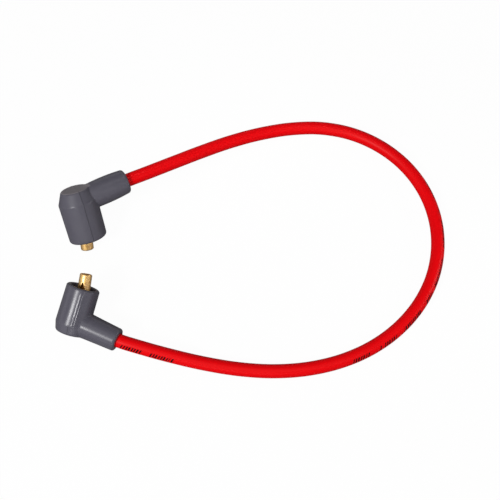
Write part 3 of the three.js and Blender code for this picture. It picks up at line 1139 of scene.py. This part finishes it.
    def strip(self, across: np.ndarray) -> np.ndarray:
        """Shape the whole strip, from the curled tip to the crimp on the jacket.

        Args:
            across: places across the strip, from -1 to 1.

        Returns:
            The points by station and column, in the boot's frame.
        """
        tilt = math.radians(self.tilt)
        rise = self.crossing / (math.cos(tilt) - math.sin(tilt) * math.tan(ELBOW_LEAN))
        rows = []
        for row in self.upright_rows(across, rise - self.crossing):
            x, y, z = row[:, 0], row[:, 1], row[:, 2] + self.crossing
            rows.append(np.stack([
                x * math.cos(tilt) + z * math.sin(tilt), y,
                -x * math.sin(tilt) + z * math.cos(tilt) - self.crossing], 1))
        # the corner is where the middle lines of the upright strap and of the neck's run meet
        along = rise * math.sin(tilt) / math.cos(ELBOW_LEAN)
        corner = along * NECK_AXIS - np.array([0, self.back(), 0])
        start = math.pi / 2 - tilt
        ahead = np.array([math.cos(start), 0, math.sin(start)])
        inward = np.array([math.sin(start), 0, -math.cos(start)])
        reach = self.strap_width / 2 + self.turn_radius
        pivot = corner - ahead * self.strap_width / 2 + inward * reach
        rows += self.turn_rows(across, start, pivot)
        rows += self.crimp_rows(across, pivot + NECK_UP * reach)
        grid = np.stack(rows)
        if self.seam_side < 0:
            grid[:, :, 1] *= -1
        return grid

    def build(self) -> bpy.types.Object:
        """Roll the strip, give it its thickness and turn it to its pose.

        Returns:
            The terminal's object.
        """
        across = np.linspace(-1, 1, self.columns + 1)
        grid = self.strip(across)
        count = self.columns + 1
        faces = []
        for i in range(len(grid) - 1):
            for a in range(i * count, i * count + self.columns):
                quad = (a, a + 1, a + count + 1, a + count)
                faces.append(quad if self.seam_side > 0 else quad[::-1])
        thing = mesh_object(self.name, self.boot.place(grid.reshape(-1, 3)), faces)
        # the strip unrolled: along its middle line, and to both sides of it
        run = run_along(grid[:, count // 2])
        reach = np.linalg.norm(np.diff(grid, axis=1), axis=2).sum(axis=1) / 2
        flat = np.stack(np.broadcast_arrays(run[:, None], across * reach[:, None]), -1)
        layer = thing.data.uv_layers.new(name=self.UV_NAME)
        layer.data.foreach_set("uv", flat.reshape(-1, 2)[np.array(faces).ravel()].ravel())
        sheet = thing.modifiers.new("sheet", "SOLIDIFY")
        sheet.thickness = self.wall * MM
        sheet.offset = 0
        sheet.use_even_offset = True
        edge = thing.modifiers.new("edge", "BEVEL")
        edge.width = self.edge * MM
        edge.segments = self.EDGE_SEGMENTS
        edge.limit_method = "ANGLE"
        edge.angle_limit = math.radians(self.EDGE_ANGLE)
        return thing


# The cable


@dataclass
class Cable:
    """The silicone cable between both necks."""

    coil: Boot
    cap: Boot
    route: tuple[tuple[float, float, float], ...]
    diameter: float = 8.5
    bore: float = 3.0
    start: float = 14.0  # from each boot's axis to the end of the jacket
    sides: int = 48
    ring_spacing: float = 2.2
    end_radius: float = 0.35
    mark_pitch: float = 1.65
    mark_height: float = 3.1
    mark_line: float = 8.9  # round the cable from underneath to the middle of the marks
    mark_slant: float = 0.36  # how far a bar leans along the cable for each millimetre up
    mark_widths: tuple[float, float] = (0.42, 0.25)  # least width and spread, as shares
    mark_groups: tuple[tuple[float, float], ...] = ()

    UV_NAME = "along_and_around"
    CURVE_STEPS = 60  # points on the curve from one control point to the next
    EDGE_RINGS = 5  # round the skin's rounded edge at each end
    BORE_STRIDE = 4  # the hidden bore has one ring to this many of the skin
    MARK_SCATTER = 0.618  # the golden ratio, which spreads the bars' widths evenly
    SHORTEST_KNOT = 1e-4

    def control_points(self) -> np.ndarray:
        """List the route's points with the straight stretches inside both necks.

        Returns:
            The points in the row's frame, from the coil boot to the cap boot.
        """
        ends = [[boot.neck_point(d) for d in (self.start, boot.neck_length / 2, boot.neck_length)]
                for boot in (self.coil, self.cap)]
        return np.array([*ends[0], *map(np.array, self.route), *reversed(ends[1])])

    def centre_line(self, spacing: float) -> np.ndarray:
        """Run a centripetal Catmull-Rom curve through the control points.

        Args:
            spacing: distance between the returned points, in millimetres.

        Returns:
            Evenly spaced points.
        """
        p = self.control_points()
        p = np.vstack([2 * p[0] - p[1], p, 2 * p[-1] - p[-2]])
        knots = np.maximum(np.linalg.norm(np.diff(p, axis=0), axis=1) ** 0.5, self.SHORTEST_KNOT)
        dense = []
        for i in range(1, len(p) - 2):
            p0, p1, p2, p3 = p[i - 1:i + 3]
            d0, d1, d2 = knots[i - 1:i + 2]
            t1 = ((p1 - p0) / d0 - (p2 - p0) / (d0 + d1) + (p2 - p1) / d1) * d1
            t2 = ((p2 - p1) / d1 - (p3 - p1) / (d1 + d2) + (p3 - p2) / d2) * d1
            for t in np.linspace(0, 1, self.CURVE_STEPS, endpoint=False):
                dense.append(p1 + t1 * t + (-3 * p1 + 3 * p2 - 2 * t1 - t2) * t ** 2
                             + (2 * p1 - 2 * p2 + t1 + t2) * t ** 3)
        dense.append(p[-2])
        line = np.array(dense)
        run = run_along(line)
        marks = np.linspace(0, run[-1], int(round(run[-1] / spacing)) + 1)
        return np.stack([np.interp(marks, run, line[:, k]) for k in range(3)], 1)

    def rings(self, last: int) -> list[tuple[int, float, float]]:
        """List the tube's rings: out along the skin and back through the bore.

        Args:
            last: number of the middle line's last point.

        Returns:
            Rows of the point's number, the ring's radius and its shift along the cable.
        """
        outer, inner, soft = self.diameter / 2, self.bore / 2, self.end_radius
        edge = [(outer - soft + soft * math.sin(a), soft - soft * math.cos(a))
                for a in np.linspace(0, math.pi / 2, self.EDGE_RINGS)]
        return [
            (0, inner, 0.0),
            *((0, radius, shift) for radius, shift in edge),
            *((i, outer, 0.0) for i in range(1, last)),
            *((last, radius, -shift) for radius, shift in reversed(edge)),
            (last, inner, 0.0),
            *((i, inner, 0.0) for i in range(last - 1, 0, -self.BORE_STRIDE)),
        ]

    def build(self) -> bpy.types.Object:
        """Sweep the jacket as a closed tube with a bore, and unroll it into its UV map.

        Returns:
            The cable's object.
        """
        line = self.centre_line(self.ring_spacing)
        run = run_along(line)
        tangent = np.gradient(line, axis=0)
        tangent /= np.linalg.norm(tangent, axis=1)[:, None]
        left = np.cross([0, 0, 1.0], tangent)
        left /= np.linalg.norm(left, axis=1)[:, None]
        up = np.cross(tangent, left)
        n = self.sides
        turns = 2 * math.pi * np.arange(n)[:, None] / n
        points, where = [], []
        for i, radius, shift in self.rings(len(line) - 1):
            spokes = -np.cos(turns) * up[i] + np.sin(turns) * left[i]
            points.append(line[i] + tangent[i] * shift + radius * spokes)
            where.append(run[i] + shift)
        faces, maps = [], []
        girth = math.pi * self.diameter
        for a in range(len(points)):
            b = (a + 1) % len(points)
            for j in range(n):
                k = (j + 1) % n
                faces.append((a * n + j, b * n + j, b * n + k, a * n + k))
                low, high = girth * j / n, girth * (j + 1) / n
                maps.append(((where[a], low), (where[b], low), (where[b], high), (where[a], high)))
        thing = mesh_object("cable", np.concatenate(points), faces)
        layer = thing.data.uv_layers.new(name=self.UV_NAME)
        layer.data.foreach_set("uv", np.array(maps, float).ravel())
        return thing

    def mark_mask(self, tree: bpy.types.NodeTree, along: bpy.types.NodeSocket,
                  around: bpy.types.NodeSocket) -> bpy.types.NodeSocket:
        """Draw groups of plain slanted bars where the cable carries its ink.

        Args:
            tree: the material's tree.
            along: millimetres along the cable.
            around: millimetres round the cable.

        Returns:
            A mask that is one in the ink.
        """
        least, spread = self.mark_widths
        # each row names its result, its operation, and the results or numbers that go in
        steps = [
            ("height", "SUBTRACT", "around", self.mark_line),
            ("slanted", "MULTIPLY_ADD", "height", self.mark_slant, "along"),
            ("place", "DIVIDE", "slanted", self.mark_pitch),
            ("in_cell", "FRACT", "place"),
            ("cell", "FLOOR", "place"),
            ("scatter", "MULTIPLY", "cell", self.MARK_SCATTER),
            ("draw", "FRACT", "scatter"),
            ("width", "MULTIPLY_ADD", "draw", spread, least),
            ("bar", "LESS_THAN", "in_cell", "width"),
            ("off_line", "ABSOLUTE", "height"),
            ("band", "LESS_THAN", "off_line", self.mark_height / 2),
        ]
        for first, last in self.mark_groups:
            steps += [
                ("past", "GREATER_THAN", "slanted", first),
                ("before", "LESS_THAN", "slanted", last),
                ("group", "MULTIPLY", "past", "before"),
                ("groups", "ADD", "groups", "group"),
            ]
        steps += [("bars", "MULTIPLY", "bar", "band"), ("ink", "MULTIPLY", "bars", "groups")]
        known: dict[object, object] = {"along": along, "around": around, "groups": 0.0}
        for result, operation, *terms in steps:
            given = dict(enumerate(known.get(term, term) for term in terms))
            links = {k: v for k, v in given.items() if isinstance(v, bpy.types.NodeSocket)}
            values = {k: v for k, v in given.items() if k not in links}
            step = add_node(tree, "ShaderNodeMath", values, links, operation=operation)
            known[result] = step.outputs[0]
        return known["ink"]


# Stage, lights and camera


@dataclass
class Studio:
    """A white sweep, softboxes round the boots, spotlights over the cable, and the camera."""

    target: tuple[float, float, float] = (0.0969, 0.0132, 0.0)
    distance: float = 0.677
    tilt: float = math.radians(24)
    lens: float = 76.75
    sensor: float = 36.0
    clip_start: float = 0.05
    aim: tuple[float, float, float] = (-0.0099, -0.0384, 0.0116)  # the cap boot's elbow
    loop: tuple[float, float, float] = (0.21, 0.01, 0.004)  # the far side of the cable's loop
    upper: tuple[float, float, float] = (0.08, 0.084, 0.01)  # the cable's run from the coil boot
    spot_radius: float = 0.04
    floor_reach: float = 2500.0  # in millimetres, as is the next
    floor_drop: float = 0.15  # how far the floor lies under the lead
    floor_glow: float = 0.97  # share of the floor that the camera sees as plain white
    floor_tones: tuple[float, float] = (0.28, 0.9)  # as the part sees it, as the camera does
    fill: float = 0.15  # light from all round
    ceiling: float = 0.2  # what bright metal mirrors from above the white sweep
    sweep_top: float = 0.28  # sine of the angle at which the white sweep ends
    sweep_blend: float = 0.12  # over which it gives way to the ceiling

    WHITE = (1, 1, 1, 1)

    def build(self) -> None:
        """Make the camera, the floor, the world and the lamps."""
        bpy.context.scene.view_settings.view_transform = "Standard"
        self.build_camera()
        self.build_floor()
        self.build_world()
        self.lamp("left_softbox", azimuth=-134, elevation=47, distance=1.6, size=0.4, power=17.4)
        self.lamp("top_softbox", azimuth=-90, elevation=80, distance=1.5, size=0.9, power=2.8)
        self.lamp("front_panel", azimuth=-89, elevation=25, distance=0.9, size=0.26, power=0.9)
        self.lamp("right_panel", azimuth=-42, elevation=45, distance=1.2, size=0.35, power=1.0)
        self.spot("loop_spot", azimuth=0, elevation=25, distance=0.3, power=1.2,
                  aim=self.loop, angle=50)
        self.spot("upper_spot", azimuth=90, elevation=80, distance=0.35, power=0.75,
                  aim=self.upper, angle=34)

    def build_camera(self) -> None:
        """Put the camera where the photograph was taken from."""
        data = bpy.data.cameras.new("camera")
        data.lens = self.lens
        data.sensor_width = self.sensor
        data.sensor_fit = "HORIZONTAL"
        data.clip_start = self.clip_start
        camera = bpy.data.objects.new("camera", data)
        camera.location = Vector(self.target) + self.distance * Vector(
            (0, -math.sin(self.tilt), math.cos(self.tilt)))
        camera.rotation_euler = (self.tilt, 0, 0)
        bpy.context.scene.collection.objects.link(camera)
        bpy.context.scene.camera = camera

    def build_floor(self) -> None:
        """Lay a white floor that the camera sees as white and that keeps a faint shadow."""
        reach = self.floor_reach
        corners = [(x * reach, y * reach, -self.floor_drop)
                   for x, y in ((-1, -1), (1, -1), (1, 1), (-1, 1))]
        floor = mesh_object("floor", np.array(corners), [(0, 1, 2, 3)], smooth=False)
        material = bpy.data.materials.new("white_paper")
        material.cycles.emission_sampling = "NONE"
        material.use_nodes = True
        tree = material.node_tree
        tree.nodes.clear()
        seen = add_node(tree, "ShaderNodeLightPath").outputs["Is Camera Ray"]
        share = add_node(tree, "ShaderNodeMath", {1: self.floor_glow}, {0: seen},
                         operation="MULTIPLY").outputs[0]
        # the paper throws less light back on the part than the camera sees in it
        tone = add_node(tree, "ShaderNodeMapRange", {
            "To Min": self.floor_tones[0], "To Max": self.floor_tones[1],
        }, {"Value": seen}).outputs["Result"]
        paper = add_node(tree, "ShaderNodeBsdfDiffuse", links={"Color": tone}).outputs["BSDF"]
        white = add_node(tree, "ShaderNodeEmission", {
            "Color": self.WHITE, "Strength": 1.0,
        }).outputs[0]
        mixed = add_node(tree, "ShaderNodeMixShader", links={
            0: share, 1: paper, 2: white,
        }).outputs[0]
        add_node(tree, "ShaderNodeOutputMaterial", links={"Surface": mixed})
        give_material(floor, material)

    def build_world(self) -> None:
        """Fill the shadows evenly, under a white sweep and a dim ceiling."""
        world = bpy.data.worlds.new("studio")
        bpy.context.scene.world = world
        world.use_nodes = True
        tree = world.node_tree
        tree.nodes.clear()
        rays = add_node(tree, "ShaderNodeLightPath").outputs
        seen = rays["Is Camera Ray"]
        for kind in ("Is Glossy Ray", "Is Transmission Ray"):
            seen = add_node(tree, "ShaderNodeMath", links={0: seen, 1: rays[kind]},
                            operation="MAXIMUM").outputs[0]
        heading = add_node(tree, "ShaderNodeTexCoord").outputs["Generated"]
        height = add_node(tree, "ShaderNodeSeparateXYZ", links={"Vector": heading}).outputs["Z"]
        sweep = add_node(tree, "ShaderNodeMapRange", {
            "From Min": self.sweep_top, "From Max": self.sweep_top + self.sweep_blend,
            "To Min": 1.0, "To Max": self.ceiling,
        }, {"Value": height}, interpolation_type="SMOOTHSTEP").outputs["Result"]
        fill = add_node(tree, "ShaderNodeBackground", {
            "Color": self.WHITE, "Strength": self.fill,
        }).outputs[0]
        white = add_node(tree, "ShaderNodeBackground", {"Color": self.WHITE}, {
            "Strength": sweep,
        }).outputs[0]
        mixed = add_node(tree, "ShaderNodeMixShader", links={
            0: seen, 1: fill, 2: white,
        }).outputs[0]
        add_node(tree, "ShaderNodeOutputWorld", links={"Surface": mixed})

    def lamp(self, name: str, azimuth: float, elevation: float, distance: float, size: float,
             power: float) -> None:
        """Hang a square softbox that faces the cap boot.

        Args:
            name: the lamp's name.
            azimuth: its heading from the boot, in degrees from +X towards +Y.
            elevation: its angle above the floor, in degrees.
            distance: how far away it hangs, in metres.
            size: the side of its square, in metres.
            power: its power in watts.
        """
        data = bpy.data.lights.new(name, "AREA")
        data.shape = "SQUARE"
        data.size = size
        data.energy = power
        self.hang(data, azimuth, elevation, distance, self.aim)

    def spot(self, name: str, azimuth: float, elevation: float, distance: float, power: float,
             aim: Sequence[float], angle: float) -> None:
        """Hang a soft spotlight over one stretch of the cable.

        Args:
            name: the lamp's name.
            azimuth: its heading from the place it lights, in degrees from +X towards +Y.
            elevation: its angle above the floor, in degrees.
            distance: how far away it hangs, in metres.
            power: its power in watts.
            aim: the place it lights.
            angle: the angle of its cone, in degrees, which fades from the middle on.
        """
        data = bpy.data.lights.new(name, "SPOT")
        data.energy = power
        data.spot_size = math.radians(angle)
        data.spot_blend = 1.0
        data.shadow_soft_size = self.spot_radius
        self.hang(data, azimuth, elevation, distance, aim)

    def hang(self, data: bpy.types.Light, azimuth: float, elevation: float, distance: float,
             aim: Sequence[float]) -> None:
        """Put a light on its heading from a place, facing that place.

        Args:
            data: the light.
            azimuth: its heading from the place, in degrees from +X towards +Y.
            elevation: its angle above the floor, in degrees.
            distance: how far away it hangs, in metres.
            aim: the place.
        """
        lamp = bpy.data.objects.new(data.name, data)
        a, e = math.radians(azimuth), math.radians(elevation)
        out = Vector((math.cos(a) * math.cos(e), math.sin(a) * math.cos(e), math.sin(e)))
        lamp.location = Vector(aim) + out * distance
        lamp.rotation_euler = out.to_track_quat("Z", "Y").to_euler()
        bpy.context.scene.collection.objects.link(lamp)


# The whole wire


COIL_BOOT = Boot(
    name="coil_elbow_boot", node="coil_boot", seat=(-10.1, 34.9, 25.293),
    turn=(0.89624, -0.38207, -0.02169, 0.22430),
    mouth_diameter=23.7, shoulder_diameter=24.6, top_diameter=17.8, mouth_depth=24.9,
    shoulder_rise=0.4, top_rise=8.4, tower_bore=18.0, tower_stop=8.0, pocket_diameter=12.6,
    lip_radius=1.6, shoulder_radius=1.1, top_radius=1.6, neck_length=33.4, neck_base=14.6,
    neck_middle=16.9, neck_end=15.2, neck_radius=1.9, seam_shift=0.3, seam_bead=0.5,
    bead_start=-24.5, crown=0.9,
)
CAP_BOOT = Boot(
    name="cap_elbow_boot", node="cap_boot", seat=(-9.9, -38.4, 11.568),
    turn=(0.50016, 0.84770, -0.15431, -0.08624),
    mouth_diameter=20.4, shoulder_diameter=21.0, top_diameter=18.0, mouth_depth=21.3,
    shoulder_rise=2.4, top_rise=8.3, tower_bore=15.2, tower_stop=7.4, pocket_diameter=13.4,
    lip_radius=1.2, shoulder_radius=1.6, top_radius=1.8, neck_length=30.2, neck_base=16.9,
    neck_middle=15.4, neck_end=14.2, neck_radius=1.5, seam_shift=0.6, seam_bead=0.3,
    bead_start=1.6, ridges=((3.0, 0.8, 0.25), (4.4, 0.9, 0.32)),
)
TERMINALS = (
    Terminal("coil_contact", "coil_terminal", COIL_BOOT, diameter=8.4, stand_out=7.0,
             tip_radius=0.7, crossing=13.0, notch_from_tip=9.0, seam_side=-1, seam_turn=8.0),
    Terminal("cap_contact", "cap_terminal", CAP_BOOT, diameter=7.8, stand_out=8.0,
             tip_radius=0.7, crossing=24.0, notch_from_tip=4.2, seam_side=1, seam_turn=0.0),
)
ROUTE = (
    (30.9, 56.7, 21.6), (48.3, 66.4, 18.3), (65.8, 76.5, 14.2), (84.0, 86.2, 10.0),
    (103.5, 94.2, 6.5), (123.9, 99.1, 4.6), (144.6, 99.7, 4.35), (164.8, 95.2, 4.35),
    (183.0, 85.6, 4.35), (198.1, 71.6, 4.35), (209.0, 54.0, 4.35), (214.9, 34.2, 4.35),
    (215.5, 13.6, 4.35), (211.0, -6.5, 4.35), (201.6, -24.9, 4.35), (188.2, -40.6, 4.35),
    (171.5, -53.1, 4.35), (152.6, -61.8, 4.35), (132.3, -66.8, 4.35), (111.5, -68.4, 4.35),
    (90.6, -67.2, 4.6), (70.0, -64.2, 6.0), (49.8, -60.0, 8.0), (29.9, -54.9, 9.9),
)
MARK_GROUPS = (  # where the ink begins and ends, in millimetres along the cable
    (237, 250), (257.5, 261), (266, 283), (291, 310.5), (314, 322), (328, 343.5), (350, 359),
    (361, 363), (369, 381), (487.5, 489.5), (490.5, 502.5), (507.5, 520.5),
)
CORD_SPACING = 2.0  # of the points that the cord's path is given by


def dress_node(name: str, material: bpy.types.Material) -> None:
    """Dress a node of the frame in its own mesh.

    Args:
        name: the node's name.
        material: its material.
    """
    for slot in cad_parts[name].material_slots:
        slot.material = material
    LOG.info("%s dressed", name)


def main() -> None:
    """Build every piece in order and hand each to the frame."""
    logging.basicConfig(level=logging.INFO, format="%(name)s: %(message)s")
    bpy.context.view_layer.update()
    Studio().build()

    cable = Cable(COIL_BOOT, CAP_BOOT, ROUTE, mark_groups=MARK_GROUPS)
    jacket = cable.build()
    give_material(jacket, ExtrudedSilicone().build(cable))
    line = cable.centre_line(CORD_SPACING)
    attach(jacket, "root")
    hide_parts("cable_jacket")

    brass = StampedBrass().build()
    for boot, finish in (
            (COIL_BOOT, MouldedSilicone("moulded_grey_silicone_matt", Surface.MATT)),
            (CAP_BOOT, MouldedSilicone("moulded_grey_silicone_glossy", Surface.GLOSSY))):
        rubber = finish.build(boot)
        body = boot.build()
        give_material(body, rubber)
        seam = boot.build_seam(rubber)
        for piece in (body, seam):
            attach(piece, "root")
        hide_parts(boot.node)
        LOG.info("%s with %d faces", boot.name, len(body.data.polygons))
    for terminal in TERMINALS:
        piece = terminal.build()
        give_material(piece, brass)
        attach(piece, "root")
        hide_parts(terminal.node)
        LOG.info("%s", terminal.name)

    dress_node("conductor_core", LoadedCore().build())


if __name__ == "__main__":
    main()
